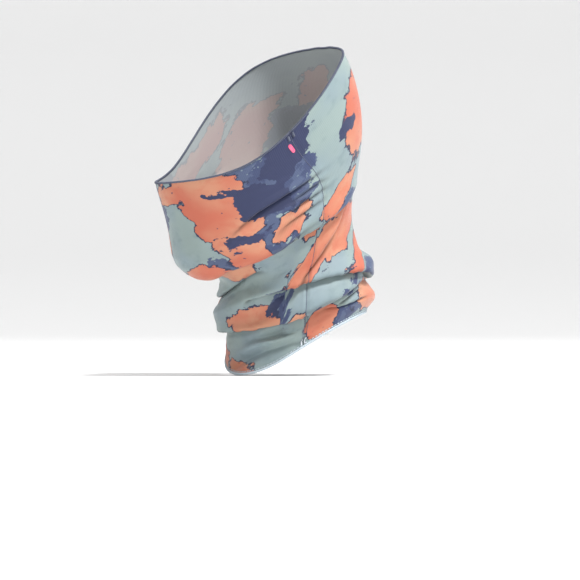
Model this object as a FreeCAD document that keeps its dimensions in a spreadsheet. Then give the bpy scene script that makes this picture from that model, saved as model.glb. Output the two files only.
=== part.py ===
"""Neck gaiter in its worn shape: one knitted tube, its overlock stitching, bar-tacks, transfer mark and label.

The frame: +Z runs up the wearer's neck, -Y is the way the wearer faces, and +X is the wearer's left, where
the seam is. The origin is the middle of the bottom opening. Millimetres and degrees.
"""

import FreeCAD, Part
import math
import os
import Sketcher

# Rings of cloth, from above the top edge down to below the bottom edge. Each is an oval in a plane that rises
# towards the back: the y and z of its front point, the y and z of its back point, half its width, and how
# much narrower than an ellipse it is at the front, as a share, with as much more width at the back.
RINGS = {
    "crown": (-151.0, 160.0, 24.0, 288.0, 71.0, 0.3),
    "nose": (-153.0, 145.0, 44.0, 266.0, 74.0, 0.32),
    "cheek": (-142.0, 120.0, 59.0, 216.0, 74.0, 0.32),
    "mouth": (-134.0, 95.0, 56.0, 176.0, 72.0, 0.3),
    "chin": (-130.0, 73.0, 51.0, 146.0, 67.0, 0.25),
    "jaw": (-103.0, 65.0, 49.0, 126.0, 64.0, 0.15),
    "throat": (-73.0, 60.0, 50.0, 106.0, 62.5, 0.05),
    "upper_roll": (-71.0, 51.0, 82.0, 77.0, 71.0, 0.0),
    "upper_crease": (-64.0, 40.0, 65.0, 58.0, 65.0, 0.0),
    "middle_roll": (-84.0, 27.0, 74.0, 50.0, 69.5, 0.0),
    "middle_crease": (-59.0, 12.0, 73.0, 43.0, 65.0, 0.0),
    "lower_roll": (-69.0, 4.0, 78.0, 38.0, 69.5, 0.0),
    "tail": (-62.0, -44.0, 58.0, 16.0, 62.0, 0.0),
}
RING_PARTS = ("front_y", "front_z", "back_y", "back_z", "half_width", "taper")
POLES_AROUND = 16

# Lines seen from the side, as the y and z of each control point of a smooth curve.
LINES = {
    "top_edge": (
        (-172.0, 144.0),
        (-138.0, 147.0),
        (-100.0, 157.0),
        (-64.0, 186.0),
        (-20.0, 236.0),
        (14.0, 268.0),
        (66.0, 284.0),
    ),
    "bottom_edge": (
        (-84.0, -36.0),
        (-62.0, -31.0),
        (-38.0, -6.0),
        (-4.0, 15.0),
        (32.0, 28.0),
        (62.0, 30.0),
        (92.0, 31.0),
    ),
    "seam": (
        (-66.0, 208.0),
        (-58.0, 182.0),
        (-42.0, 164.0),
        (-22.0, 146.0),
        (-23.0, 116.0),
        (-28.0, 70.0),
        (-31.0, 30.0),
        (-32.0, -40.0),
    ),
}

# The other driving dimensions.
SIZES = {
    "cloth": 1.2,
    "thread": 0.5,
    "edge_bead": 2.4,
    "seam_width": 4.5,
    "side_reach": 100.0,
    "bar_width": 1.2,
    "bar_spread": 3.2,
    "top_bar_length": 4.5,
    "top_bar_y": -60.5,
    "top_bar_z": 185.5,
    "bottom_bar_length": 7.0,
    "bottom_bar_y": -31.6,
    "bottom_bar_z": 2.2,
    "mark_y": -57.5,
    "mark_z": 176.5,
    "mark_tilt": 50.0,
    "mark_length": 8.5,
    "mark_width": 3.6,
    "label_x": 54.6,
    "label_y": -31.0,
    "label_z": 7.0,
    "label_turn": 78.0,
    "label_reach": 26.0,
    "label_height": 32.0,
    "label_ply": 0.3,
    "label_gap": 0.3,
    "stitch_inset": 2.0,
    "stitch_length": 2.4,
    "stitch_pitch": 4.0,
    "stitch_thread": 0.25,
}
LABEL_STITCHES = 8


def fill_sheet(document):
    """The spreadsheet of driving dimensions: one row for each, with its name as the cell's alias."""
    values = dict(SIZES)
    for ring, numbers in RINGS.items():
        for part, number in zip(RING_PARTS, numbers):
            values[f"{ring}_{part}"] = number
    for line, points in LINES.items():
        for index, (y, z) in enumerate(points):
            values[f"{line}_point{index}_y"] = y
            values[f"{line}_point{index}_z"] = z
    sheet = document.addObject("Spreadsheet::Sheet", "Sizes")
    for row, (name, value) in enumerate(values.items(), start=1):
        sheet.set(f"A{row}", name)
        sheet.set(f"B{row}", str(value))
        sheet.setAlias(f"B{row}", name)
    document.recompute()
    return sheet


def new_body(document, name):
    return document.addObject("PartDesign::Body", name)


def new_sketch(body, name, plane_role):
    """A sketch on one of the body's own origin planes."""
    plane = next(feature for feature in body.Origin.OriginFeatures if feature.Role == plane_role)
    sketch = body.newObject("Sketcher::SketchObject", f"{body.Name}_{name}")
    sketch.AttachmentSupport = (plane, [""])
    sketch.MapMode = "FlatFace"
    return sketch


def bind(sketch, constraint, expression):
    """Add a dimension to a sketch and bind it to an expression."""
    index = sketch.addConstraint(constraint)
    sketch.setExpression(f"Constraints[{index}]", expression)


def ring_poles(sheet, ring, offset):
    """Control points of one oval ring, grown by offset all round, starting at the back."""
    front_y, front_z, back_y, back_z, half_width, taper = (
        getattr(sheet, f"{ring}_{part}") for part in RING_PARTS
    )
    front = FreeCAD.Vector(0, front_y, front_z)
    back = FreeCAD.Vector(0, back_y, back_z)
    centre = (front + back) / 2
    backwards = (back - front).normalize()
    left = FreeCAD.Vector(1, 0, 0)
    # A smooth closed curve runs inside its control points by this much.
    outside = 3 / (2 + math.cos(2 * math.pi / POLES_AROUND))
    long_radius = ((back - front).Length / 2 + offset) * outside
    short_radius = (half_width + offset) * outside
    poles = []
    for index in range(POLES_AROUND):
        angle = 2 * math.pi * index / POLES_AROUND
        along = long_radius * math.cos(angle)
        across = short_radius * math.sin(angle) * (1 + taper * math.cos(angle))
        poles.append(centre + backwards * along + left * across)
    return poles


def skin(document, sheet, name, offset):
    """A closed solid whose side is one smooth surface over every ring, offset from the cloth's outer face.

    A loft through rings that tilt and crowd like these swells between them. A surface with the rings as its
    control points doesn't, so the shape is set here, from the sheet's sizes.
    """
    rings = [ring_poles(sheet, ring, offset) for ring in RINGS]
    rows = [list(row) for row in zip(*rings)]
    spans = len(RINGS) - 3
    surface = Part.BSplineSurface()
    surface.buildFromPolesMultsKnots(
        rows,
        [1] * (POLES_AROUND + 1),
        [4] + [1] * (spans - 1) + [4],
        list(range(POLES_AROUND + 1)),
        list(range(spans + 1)),
        True,
        False,
        3,
        3,
    )
    side = surface.toShape()
    rims = [surface.vIso(end) for end in (0, spans)]
    caps = [Part.Face(Part.Wire([rim.toShape()])) for rim in rims]
    shell = Part.Shell([side] + caps)
    shell.sewShape()
    result = document.addObject("Part::Feature", name)
    result.Shape = Part.Solid(shell)
    return result


def add_curve(sketch, line, shift_y, shift_z):
    """Draw one of the side-view lines in a sketch, as a curve whose control points are bound to the sheet."""
    points = [FreeCAD.Vector(y, z, 0) for y, z in LINES[line]]
    poles = [sketch.addGeometry(Part.Circle(point, FreeCAD.Vector(0, 0, 1), 1.0), True) for point in points]
    curve = sketch.addGeometry(Part.BSplineCurve(points, None, None, False, 3, None, False))
    for index, pole in enumerate(poles):
        kind = "InternalAlignment:Sketcher::BSplineControlPoint"
        sketch.addConstraint(Sketcher.Constraint(kind, pole, 3, curve, index))
        sketch.addConstraint(Sketcher.Constraint("Weight", pole, 1.0))
        sides = (("DistanceX", "y", shift_y), ("DistanceY", "z", shift_z))
        for (direction, axis, shift), start in zip(sides, LINES[line][index]):
            distance = Sketcher.Constraint(direction, -1, 1, pole, 3, start)
            bind(sketch, distance, f"Sizes.{line}_point{index}_{axis} + ({shift})")
    return curve


def band(document, name, first, second, one_side=False):
    """A slab between two side-view lines, across the whole tube or only on the wearer's left.

    Each line is its name, its shift along y and its shift along z.
    """
    body = new_body(document, name)
    sketch = new_sketch(body, "outline", "YZ_Plane")
    curves = [add_curve(sketch, *line) for line in (first, second)]
    for end in (1, 2):
        corner = sketch.getPoint(curves[0], end)
        edge = sketch.addGeometry(Part.LineSegment(corner, corner + FreeCAD.Vector(0, 1, 0)))
        sketch.addConstraint(Sketcher.Constraint("Coincident", edge, 1, curves[0], end))
        sketch.addConstraint(Sketcher.Constraint("Coincident", edge, 2, curves[1], end))
    pad = body.newObject("PartDesign::Pad", f"{name}_pad")
    pad.Profile = sketch
    pad.SideType = "One side" if one_side else "Symmetric"
    pad.setExpression("Length", "Sizes.side_reach" if one_side else "2 * Sizes.side_reach")
    return body


def cut(document, name, base, tool):
    """What is left of base without tool."""
    result = document.addObject("Part::Cut", name)
    result.Base = base
    result.Tool = tool
    return result


def common(document, name, *shapes):
    """What all the shapes share."""
    result = document.addObject("Part::MultiCommon", name)
    result.Shapes = list(shapes)
    return result


def layer(document, name, outer, inner, *limits):
    """The cloth or thread between two skins, within the limits."""
    return cut(document, name, common(document, f"{name}_block", outer, *limits), inner)


def fuse(document, name, shapes):
    """All the shapes as one group of solids."""
    result = document.addObject("Part::MultiFuse", name)
    result.Shapes = shapes
    return result


def box(document, name, sizes, corner):
    """A box, with its three sizes and its lowest corner bound to expressions."""
    result = document.addObject("Part::Box", name)
    for side, size in zip(("Length", "Width", "Height"), sizes):
        result.setExpression(side, size)
    for axis, place in zip("xyz", corner):
        result.setExpression(f".Placement.Base.{axis}", place)
    return result


def bartack(document, end, proud, face):
    """Two bars of close stitching, one on each side of an end of the seam."""
    bars = []
    for side, sign in (("front", "-"), ("back", "+")):
        middle = f"Sizes.{end}_bar_y {sign} Sizes.bar_spread / 2"
        length = f"Sizes.{end}_bar_length"
        sizes = ("Sizes.side_reach", "Sizes.bar_width", length)
        low = ("0", f"{middle} - Sizes.bar_width / 2", f"Sizes.{end}_bar_z - {length} / 2")
        bars.append(box(document, f"{end}_bar_{side}", sizes, low))
    return layer(document, f"{end}_bartack", proud, face, fuse(document, f"{end}_bars", bars))


def transfer_mark(document, proud, face):
    """A plain tilted pill of coloured film on the face of the cloth, by the top end of the seam."""
    body = new_body(document, "mark_prism")
    sketch = new_sketch(body, "outline", "YZ_Plane")
    reach = (SIZES["mark_length"] - SIZES["mark_width"]) / 2
    radius = SIZES["mark_width"] / 2
    left = FreeCAD.Vector(-reach, 0, 0)
    right = FreeCAD.Vector(reach, 0, 0)
    up = FreeCAD.Vector(0, radius, 0)
    quarter = math.pi / 2
    ends = (
        Part.ArcOfCircle(Part.Circle(left, FreeCAD.Vector(0, 0, 1), radius), quarter, 3 * quarter),
        Part.ArcOfCircle(Part.Circle(right, FreeCAD.Vector(0, 0, 1), radius), -quarter, quarter),
    )
    sides = (Part.LineSegment(left - up, right - up), Part.LineSegment(right + up, left + up))
    for shape in ends + sides:
        sketch.addGeometry(shape)
    for first, second in (((0, 2), (2, 1)), ((2, 2), (1, 1)), ((1, 2), (3, 1)), ((3, 2), (0, 1))):
        sketch.addConstraint(Sketcher.Constraint("Tangent", *first, *second))
    sketch.addConstraint(Sketcher.Constraint("Horizontal", 2))
    bind(sketch, Sketcher.Constraint("Radius", 0, radius), "Sizes.mark_width / 2")
    straight = "Sizes.mark_length - Sizes.mark_width"
    bind(sketch, Sketcher.Constraint("DistanceX", 0, 3, 1, 3, 2 * reach), straight)
    sketch.addConstraint(Sketcher.Constraint("Symmetric", 0, 3, 1, 3, -1, 1))
    pad = body.newObject("PartDesign::Pad", "mark_pad")
    pad.Profile = sketch
    pad.setExpression("Length", "Sizes.side_reach")
    body.Placement = FreeCAD.Placement(FreeCAD.Vector(), FreeCAD.Rotation(FreeCAD.Vector(1, 0, 0), 1))
    body.setExpression(".Placement.Base.y", "Sizes.mark_y")
    body.setExpression(".Placement.Base.z", "Sizes.mark_z")
    body.setExpression(".Placement.Rotation.Angle", "Sizes.mark_tilt")
    return layer(document, "transfer_mark", proud, face, body)


def place_label(piece):
    """Put a piece of the label at the label's stitched edge, turned to lie along the inside of the cloth."""
    piece.Placement = FreeCAD.Placement(FreeCAD.Vector(), FreeCAD.Rotation(FreeCAD.Vector(0, 0, 1), 1))
    for axis in "xyz":
        piece.setExpression(f".Placement.Base.{axis}", f"Sizes.label_{axis}")
    piece.setExpression(".Placement.Rotation.Angle", "Sizes.label_turn")


def care_label(document):
    """A strip of satin tape folded in two, with its fold at the free edge."""
    thick = "(2 * Sizes.label_ply + Sizes.label_gap)"
    sizes = ("Sizes.label_reach", thick, "Sizes.label_height")
    outside = box(document, "label_outside", sizes, ("0", f"-{thick} / 2", "0"))
    sizes = ("Sizes.label_reach - Sizes.label_ply", "Sizes.label_gap", "Sizes.label_height")
    between = box(document, "label_between", sizes, ("0", "-Sizes.label_gap / 2", "0"))
    label = cut(document, "care_label", outside, between)
    place_label(label)
    return label


def label_stitching(document):
    """Lockstitches down the label's seam edge, on the outer face of both plies."""
    stitches = []
    for ply, place in (("front", "-{0} / 2 - Sizes.stitch_thread"), ("back", "{0} / 2")):
        for index in range(LABEL_STITCHES):
            sizes = ("Sizes.stitch_thread", "Sizes.stitch_thread", "Sizes.stitch_length")
            across = place.format("(2 * Sizes.label_ply + Sizes.label_gap)")
            up = f"Sizes.stitch_pitch * {index} + (Sizes.stitch_pitch - Sizes.stitch_length) / 2"
            corner = ("Sizes.stitch_inset", across, up)
            stitches.append(box(document, f"stitch_{ply}_{index}", sizes, corner))
    stitching = fuse(document, "label_stitching", stitches)
    place_label(stitching)
    return stitching


def build(document):
    """Make every sub-part, and give them back by the names of their files."""
    sheet = fill_sheet(document)
    proud = skin(document, sheet, "skin_proud", sheet.thread)
    face = skin(document, sheet, "skin_face", 0.0)
    back = skin(document, sheet, "skin_back", -sheet.cloth)
    under = skin(document, sheet, "skin_under", -sheet.cloth - sheet.thread)

    between_edges = band(document, "between_edges", ("top_edge", "0", "0"), ("bottom_edge", "0", "0"))
    top_band = band(document, "top_band", ("top_edge", "0", "0"), ("top_edge", "0", "Sizes.edge_bead"))
    low_band = band(document, "low_band", ("bottom_edge", "0", "-Sizes.edge_bead"), ("bottom_edge", "0", "0"))
    seam_sides = [("seam", f"{sign}Sizes.seam_width / 2", "0") for sign in ("-", "")]
    seam_band = band(document, "seam_band", *seam_sides, one_side=True)

    pieces = [
        layer(document, "knit_tube", face, back, between_edges),
        layer(document, "side_seam_overlock", back, under, between_edges, seam_band),
        layer(document, "top_edge_overlock", proud, under, top_band),
        layer(document, "bottom_edge_overlock", proud, under, low_band),
        bartack(document, "top", proud, face),
        bartack(document, "bottom", proud, face),
        transfer_mark(document, proud, face),
        care_label(document),
        label_stitching(document),
    ]
    for piece in pieces:
        piece.Label = piece.Name
    return pieces


def check(document, pieces):
    """Stop with the names of any objects that failed, or of any sub-part with no valid solid."""
    document.recompute()
    faults = [thing.Name for thing in document.Objects if {"Invalid", "Error"} & set(thing.State)]
    for piece in pieces:
        shape = piece.Shape
        if shape.isNull() or not shape.isValid() or not shape.Solids:
            faults.append(piece.Label)
    if faults:
        raise RuntimeError("failed: " + ", ".join(faults))


def write(pieces):
    os.makedirs("parts", exist_ok=True)
    for piece in pieces:
        piece.Shape.exportStep(f"parts/{piece.Label}.step")
        box_of = piece.Shape.BoundBox
        corners = [round(value, 1) for value in (box_of.XMin, box_of.YMin, box_of.ZMin)]
        corners += [round(value, 1) for value in (box_of.XMax, box_of.YMax, box_of.ZMax)]
        print(piece.Label, len(piece.Shape.Solids), round(piece.Shape.Volume, 1), corners)


gaiter = FreeCAD.newDocument("neck_gaiter")
sub_parts = build(gaiter)
check(gaiter, sub_parts)
write(sub_parts)
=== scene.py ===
"""Neck gaiter: the cloth, its print, its stitching and its label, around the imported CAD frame.

Shapes are worked out in millimetres and turned into metres where meshes are made. +Z runs up the wearer's
neck, -Y is the way the wearer faces and +X is the wearer's left, where the seam is. Angles round the wearer
start at the back of the head and go by the wearer's left ear to the face, at 180 degrees.
"""

import math

import bpy
import numpy as np
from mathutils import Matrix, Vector, noise
from mathutils.bvhtree import BVHTree


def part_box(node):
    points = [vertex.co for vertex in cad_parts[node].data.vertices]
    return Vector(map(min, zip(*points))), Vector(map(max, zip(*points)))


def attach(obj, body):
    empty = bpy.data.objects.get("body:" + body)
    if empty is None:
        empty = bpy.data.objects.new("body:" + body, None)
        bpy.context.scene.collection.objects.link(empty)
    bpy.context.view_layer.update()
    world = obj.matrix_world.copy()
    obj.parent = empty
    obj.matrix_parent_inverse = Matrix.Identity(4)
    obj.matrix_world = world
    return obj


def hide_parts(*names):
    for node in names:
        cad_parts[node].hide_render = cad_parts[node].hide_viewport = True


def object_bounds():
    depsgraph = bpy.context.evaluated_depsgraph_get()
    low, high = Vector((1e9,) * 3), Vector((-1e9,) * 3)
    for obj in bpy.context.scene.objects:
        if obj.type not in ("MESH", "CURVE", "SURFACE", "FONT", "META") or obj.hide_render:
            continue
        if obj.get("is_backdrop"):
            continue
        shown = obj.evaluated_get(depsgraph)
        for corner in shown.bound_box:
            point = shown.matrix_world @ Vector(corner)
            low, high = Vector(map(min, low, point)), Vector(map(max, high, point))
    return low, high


MM = 0.001

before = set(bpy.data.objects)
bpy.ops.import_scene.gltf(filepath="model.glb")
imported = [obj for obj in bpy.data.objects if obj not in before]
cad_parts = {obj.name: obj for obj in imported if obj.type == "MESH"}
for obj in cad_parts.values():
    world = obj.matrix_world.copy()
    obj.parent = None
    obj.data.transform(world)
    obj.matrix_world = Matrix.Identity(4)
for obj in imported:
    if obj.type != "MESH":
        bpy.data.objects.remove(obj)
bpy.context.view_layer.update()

# ---- the worn shape, under its folds

# Ovals from above the top edge to below the bottom edge: the y and z of the front point, the y and z of the
# back point, half the width, and how much the front half narrows.
RINGS = np.array([
    (-151.0, 160.0, 24.0, 288.0, 71.0, 0.30),
    (-153.0, 145.0, 44.0, 266.0, 74.0, 0.32),
    (-142.0, 120.0, 59.0, 216.0, 74.0, 0.32),
    (-134.0, 95.0, 55.0, 176.0, 72.0, 0.30),
    (-130.0, 73.0, 50.0, 146.0, 67.0, 0.25),
    (-103.0, 65.0, 49.0, 126.0, 63.0, 0.15),
    (-69.0, 61.0, 53.0, 106.0, 61.5, 0.05),
    (-65.0, 46.0, 63.0, 80.0, 64.0, 0.0),
    (-62.0, 26.0, 68.0, 58.0, 64.5, 0.0),
    (-61.0, 6.0, 68.0, 42.0, 64.0, 0.0),
    (-62.0, -14.0, 65.0, 30.0, 64.0, 0.0),
    (-62.0, -44.0, 60.0, 14.0, 63.0, 0.0),
])

# Side-view lines, as y and z, from front to back.
TOP_EDGE = np.array(
    [(-172, 144), (-138, 147), (-100, 157), (-64, 186), (-20, 236), (14, 268), (66, 284)], dtype=float
)
BOTTOM_EDGE = np.array(
    [(-84, -36), (-62, -31), (-38, -6), (-4, 15), (32, 28), (62, 30), (92, 31)], dtype=float
)
# The seam's line down the wearer's left, as z and y, from the bottom up.
SEAM_LINE = np.array(
    [(-40, -32), (30, -31), (70, -28), (116, -23), (146, -22), (164, -42), (182, -58), (208, -66)],
    dtype=float,
)


def spline(points, places):
    """Points of a smooth curve at places from 0 to 1; it starts and ends at its first and last points."""
    held = np.concatenate([points[:1], points[:1], points, points[-1:], points[-1:]])
    spans = len(held) - 3
    position = np.clip(places, 0.0, 1.0) * spans
    index = np.minimum(position.astype(int), spans - 1)
    t = (position - index)[..., None]
    weights = ((1 - t) ** 3, 3 * t**3 - 6 * t**2 + 4, -3 * t**3 + 3 * t**2 + 3 * t + 1, t**3)
    return sum(weight * held[index + step] for step, weight in enumerate(weights)) / 6


LINE_SAMPLES = 400


def side_line(points):
    """A side-view line as a function from its first coordinate to its second."""
    curve = spline(points, np.linspace(0, 1, LINE_SAMPLES))
    return lambda value: np.interp(value, curve[:, 0], curve[:, 1])


def worn_surface(down, angle):
    """Points of the worn shape; down is 0 above the top edge and 1 below the bottom edge."""
    front_y, front_z, back_y, back_z, half_width, taper = np.moveaxis(spline(RINGS, down), -1, 0)
    along = 0.5 * np.cos(angle)
    y = (front_y + back_y) / 2 + (back_y - front_y) * along
    z = (front_z + back_z) / 2 + (back_z - front_z) * along
    x = half_width * np.sin(angle) * (1 + taper * np.cos(angle))
    return np.stack([x, y, z], axis=-1)


# The cloth's grid, and how finely the places of its edges and seam are looked for.
ROWS = 224
COLUMNS = 208
EDGE_ANGLES = 721
EDGE_LEVELS = 601
EDGE_SMOOTHING = 7
SEAM_DEGREES = (40, 160)
SEAM_ANGLES = 481


def edge_places():
    """How far down the worn shape each edge crosses it, for angles all round."""
    angles = np.linspace(0, 2 * math.pi, EDGE_ANGLES)
    down = np.linspace(0, 1, EDGE_LEVELS)
    points = worn_surface(down[:, None], angles[None, :])
    places = []
    for edge in (side_line(TOP_EDGE), side_line(BOTTOM_EDGE)):
        below = points[..., 2] < edge(points[..., 1])
        places.append(down[np.argmax(below, axis=0)])
    reach = EDGE_SMOOTHING
    window = np.hanning(2 * reach + 1)
    wrapped = [np.concatenate([place[-reach - 1:-1], place, place[1:reach + 1]]) for place in places]
    top, bottom = (np.convolve(place, window / window.sum(), "valid") for place in wrapped)
    return angles, top, bottom


def cloth_grid():
    """The worn shape as rows from the top edge to the bottom and columns that start at the seam, as points
    and their angles."""
    angles, top, bottom = edge_places()
    seam_y = side_line(SEAM_LINE)
    left = np.radians(np.linspace(*SEAM_DEGREES, SEAM_ANGLES))

    def down(angle, share):
        turn = np.mod(angle, 2 * math.pi)
        start = np.interp(turn, angles, top)
        return start + (np.interp(turn, angles, bottom) - start) * share

    points = np.zeros((ROWS + 1, COLUMNS, 3))
    turns = np.zeros((ROWS + 1, COLUMNS))
    for row in range(ROWS + 1):
        share = row / ROWS
        side = worn_surface(down(left, share), left)
        behind = side[:, 1] - seam_y(side[:, 2])
        seam = np.interp(0.0, -behind, left)
        turn = seam + 2 * math.pi * np.arange(COLUMNS) / COLUMNS
        points[row] = worn_surface(down(turn, share), turn)
        turns[row] = turn
    return points, np.mod(turns, 2 * math.pi)


# ---- the folds

# The length of one degree round the neck, where the lines of the folds are laid out.
DEGREE = 64.0 * math.pi / 180

# Folds where the cloth above hangs over the cloth below: the width that each spreads over, and its line as
# the angle in degrees, the height, and how far the cloth hangs over there.
HANGING_FOLDS = (
    # under the jaw, from the nape round the chin to the nape
    (8, [(30, 150, 0), (40, 146, 1.5), (53, 135, 3.5), (64, 122, 4.5), (107, 85, 5.5), (165, 57, 5),
         (200, 60, 4), (232, 74, 5), (253, 87, 5), (308, 137, 1.5), (325, 148, 0)]),
    # just above it, on the near jaw
    (4, [(150, 74, 0), (138, 77, 1.2), (128, 81, 1.6), (115, 89, 1.6), (104, 98, 1.4), (95, 107, 1.2),
         (85, 116, 1), (74, 126, 0)]),
    # the front of the neck, under the chin
    (6, [(138, 68, 0), (151, 61, 3), (168, 53, 4), (185, 47, 4), (200, 43, 3.5), (216, 41, 3.5),
         (240, 47, 3), (262, 60, 2.5), (285, 80, 0)]),
    # the middle of the neck, all round but for the front
    (7, [(168, 37, 0), (158, 41, 4), (148, 43, 5), (115, 55, 5), (78, 64, 5), (59, 65, 4.5), (30, 57, 3.5),
         (-35, 57, 3.5), (-60, 60, 4), (-85, 57, 4.5), (-110, 48, 5), (-135, 36, 4), (-152, 28, 0)]),
    # low on the neck, round the front
    (7, [(45, 58, 0), (63, 57, 2.5), (76, 52, 4), (110, 31, 4), (123, 22, 6), (145, 15, 5), (180, 9, 5),
         (240, 10, 4.5), (262, 18, 5), (305, 44, 4), (340, 52, 0)]),
    # two more that fan out from it to the back
    (4, [(108, 33, 0), (95, 32, 2.5), (85, 35, 3), (72, 40, 2.5), (60, 44, 0)]),
    (4, [(97, 36, 0), (88, 40, 2), (75, 47, 2), (62, 52, 0)]),
    # a light one across the panel above them
    (3, [(137, 33, 0), (119, 34, 0.9), (108, 40, 1.2), (100, 45, 1), (87, 49, 0)]),
    # from the near nape down to the middle of the neck
    (7, [(47, 140, 0), (52, 132, 2), (59, 113, 3.5), (75, 94, 4), (95, 78, 3.5), (111, 66, 2.5),
         (128, 52, 0)]),
)
# The pull lines from the cheeks to the ears, given on the near side and mirrored to the far side.
CHEEK_FOLDS = (
    (6, [(139, 90, 0), (119, 116, 1.8), (100, 135, 2.2), (78, 161, 0)]),
    (3, [(100, 128, 0), (94, 134, 1.0), (88, 141, 1.2), (82, 147, 1.0), (76, 152, 0)]),
    (3, [(104, 115, 0), (96, 124, 1.0), (88, 132, 1.4), (81, 139, 1.0), (74, 146, 0)]),
    (3, [(112, 100, 0), (103, 109, 1.0), (94, 118, 1.3), (85, 127, 1.0), (77, 136, 0)]),
)
# Rolls and hollows: their width, and their line as the angle, the height, and how far out the cloth goes.
ROLLS = (
    # the upper and lower rolls round the back of the neck
    (9, [(100, 60, 0), (70, 74, 6), (50, 78, 8), (38, 76, 9), (0, 73, 7), (-30, 75, 7), (-60, 72, 5),
         (-110, 52, 0)]),
    (10, [(110, 20, 0), (75, 38, 5), (55, 44, 8), (38, 44, 9), (-30, 43, 7), (-60, 38, 5), (-110, 12, 0)]),
    # the valley above the upper roll, which runs forward to the middle fold
    (3.5, [(20, 93, 0), (38, 88, -3), (50, 80, -3.5), (58, 74, -3.5), (70, 68, -2.5), (84, 64, 0)]),
    # the panel between the middle and low folds, on the near side
    (9, [(150, 30, 0), (135, 33, 3), (120, 40, 4), (105, 47, 4.5), (90, 54, 4), (75, 58, 3), (60, 61, 0)]),
    # the tongue across the front, and the hollow under its near end
    (9, [(140, 56, 0), (160, 45, 6), (172, 36, 8), (210, 28, 11.5), (245, 32, 7), (285, 50, 0)]),
    (8, [(188, 19, 0), (172, 22, -4), (158, 26, -5), (146, 28, -4), (134, 28, 0)]),
    # soft pleats in the lowest band
    (4, [(168, 3, 0), (158, 5, -4), (148, 8, -5.5), (138, 11, -5), (128, 15, -2.5), (116, 20, 0)]),
    (4, [(185, -10, 0), (170, -4, 3.5), (155, 0, 4.5), (140, 4, 4.5), (128, 9, 3.5), (116, 14, 0)]),
    (4, [(184, -17, 0), (170, -12, -3.5), (159, -6, -4.5), (144, -3, -4.5), (132, 2, -3), (118, 7, 0)]),
    (4, [(197, -25, 0), (188, -22, -4), (176, -14, -4.5), (164, -10, -3), (150, -8, 0)]),
)


FAR_SIDE_SHARE = 0.9


def mirrored(fold):
    """The same fold on the far side, a little weaker."""
    width, line = fold
    return width, [(360 - angle, height, amount * FAR_SIDE_SHARE) for angle, height, amount in line]


FOLD_SAMPLES = 240
FOLD_END_FADE = 6


def beside_line(turns, heights, line):
    """How far each point of the cloth lies above a fold's line, and the fold's amount there."""
    samples = spline(np.array(line, dtype=float), np.linspace(0, 1, FOLD_SAMPLES))
    route = np.stack([samples[:, 0] * DEGREE, samples[:, 1]], axis=-1)
    along = unit(np.gradient(route, axis=0))
    side = np.stack([-along[:, 1], along[:, 0]], axis=-1)
    side *= np.where(side[:, 1:] < 0, -1, 1)
    middle = (samples[:, 0].min() + samples[:, 0].max()) / 2
    degrees = np.mod(np.degrees(turns) - middle + 180, 360) - 180 + middle
    above = np.zeros_like(heights)
    amount = np.zeros_like(heights)
    for row in range(len(heights)):
        place = np.stack([degrees[row] * DEGREE, heights[row]], axis=-1)
        gap = place[:, None, :] - route[None, :, :]
        nearest = np.argmin((gap**2).sum(axis=-1), axis=1)
        offset = gap[np.arange(len(place)), nearest]
        above[row] = (offset * side[nearest]).sum(axis=-1)
        beyond = np.abs((offset * along[nearest]).sum(axis=-1))
        amount[row] = samples[nearest, 2] * np.exp(-((beyond / FOLD_END_FADE) ** 2))
    return above, amount


def smoothed(points, rounds):
    """The grid with each point drawn towards its neighbours; the edge rows stay."""
    for _ in range(rounds):
        beside = (np.roll(points, 1, axis=1) + np.roll(points, -1, axis=1)) / 2
        inner = (points[:-2] + points[2:]) / 4 + beside[1:-1] / 2
        points = np.concatenate([points[:1], points[1:-1] * 0.5 + inner * 0.5, points[-1:]])
    return points


def normals_of(points):
    """Outward normals of a grid that is closed along its columns."""
    across = np.roll(points, -1, axis=1) - np.roll(points, 1, axis=1)
    down = np.gradient(points, axis=0)
    return unit(np.cross(across, down))


# A fold's cross-section. Its lip, its hollow and the cloth's slide over them are shares of the fold's amount;
# the cloth above slides down over the fold's line, so the fold starts higher by a share of the amount too.
HANGING_GAIN = 1.5
PULL_GAIN = 1.9
FOLD_START = 0.9
LIP_SHARE = 1.5
LIP_RISE = 1.1
HOLLOW_SHARE = 0.6
SLIDE_SHARE = 1.35
RIPPLE_PITCH = 6.5
RIPPLE_REACH = 13.0
RIPPLE_SHARE = 0.09
RIPPLE_MOST = 4.0
# Painted shade under each fold: the width of the dark band under its line, and the fold amount at which that
# band is fully dark.
CREASE_SHADE_WIDTH = 1.5
FULL_CREASE_SHADE_AMOUNT = 2.6


def fold_section(above, amount, width):
    """How far out and how far down a fold moves the cloth, and how much painted shade its crease puts on each
    point, to 1.
    """
    upper = np.maximum(above, 0)
    under = np.minimum(above, 0)
    lip = np.exp(-upper / width) * (1 - np.exp(-upper / LIP_RISE))
    hollow = -HOLLOW_SHARE * amount * np.exp(under / (0.6 * width))
    out = np.where(above > 0, amount * LIP_SHARE * lip, hollow)
    slide = np.where(above > 0, SLIDE_SHARE * amount * np.exp(-upper / (0.8 * width)), 0)
    ripple = np.sin(2 * math.pi * above / RIPPLE_PITCH) * np.exp(-np.abs(above) / RIPPLE_REACH)
    ripple = RIPPLE_SHARE * np.minimum(amount, RIPPLE_MOST) * ripple
    # Painted shade: a narrow band just under the fold's line is marked for darkening.
    bottom = np.exp(-(((above + CREASE_SHADE_WIDTH / 2) / CREASE_SHADE_WIDTH) ** 2))
    return out + ripple, slide, np.minimum(amount / FULL_CREASE_SHADE_AMOUNT, 1.0) * bottom


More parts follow.
